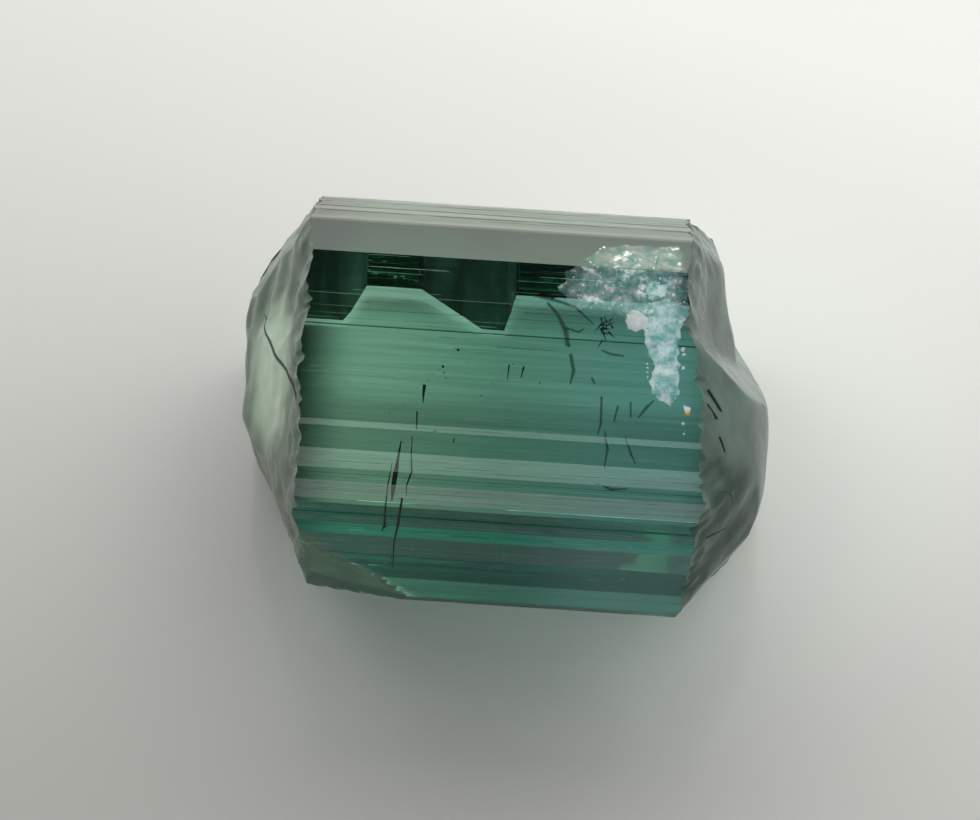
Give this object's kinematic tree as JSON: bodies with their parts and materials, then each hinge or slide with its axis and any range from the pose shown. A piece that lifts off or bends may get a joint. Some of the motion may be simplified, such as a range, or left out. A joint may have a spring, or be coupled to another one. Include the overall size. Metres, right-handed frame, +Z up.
{
  "type": "tourmaline crystal",
  "caption": "Loose natural tourmaline crystal: a short, clear blue-green striated prism lying on its side, broken across at both ends.",
  "frame": {"origin": "middle of the bounding box, at the flat of the underside that the crystal rests on", "axes": "+X along the prism towards the end with the rounded boss, +Y to the rear, +Z up"},
  "size_m": [0.0142, 0.0114, 0.0097],
  "materials": {
    "green_tourmaline": "clear blue-green tourmaline, glassy; fine lengthwise striations on the prism faces, glossy conchoidal breaks at the ends"
  },
  "bodies": {
    "root": {"tourmaline_crystal": "green_tourmaline"}
  },
  "joints": []
}
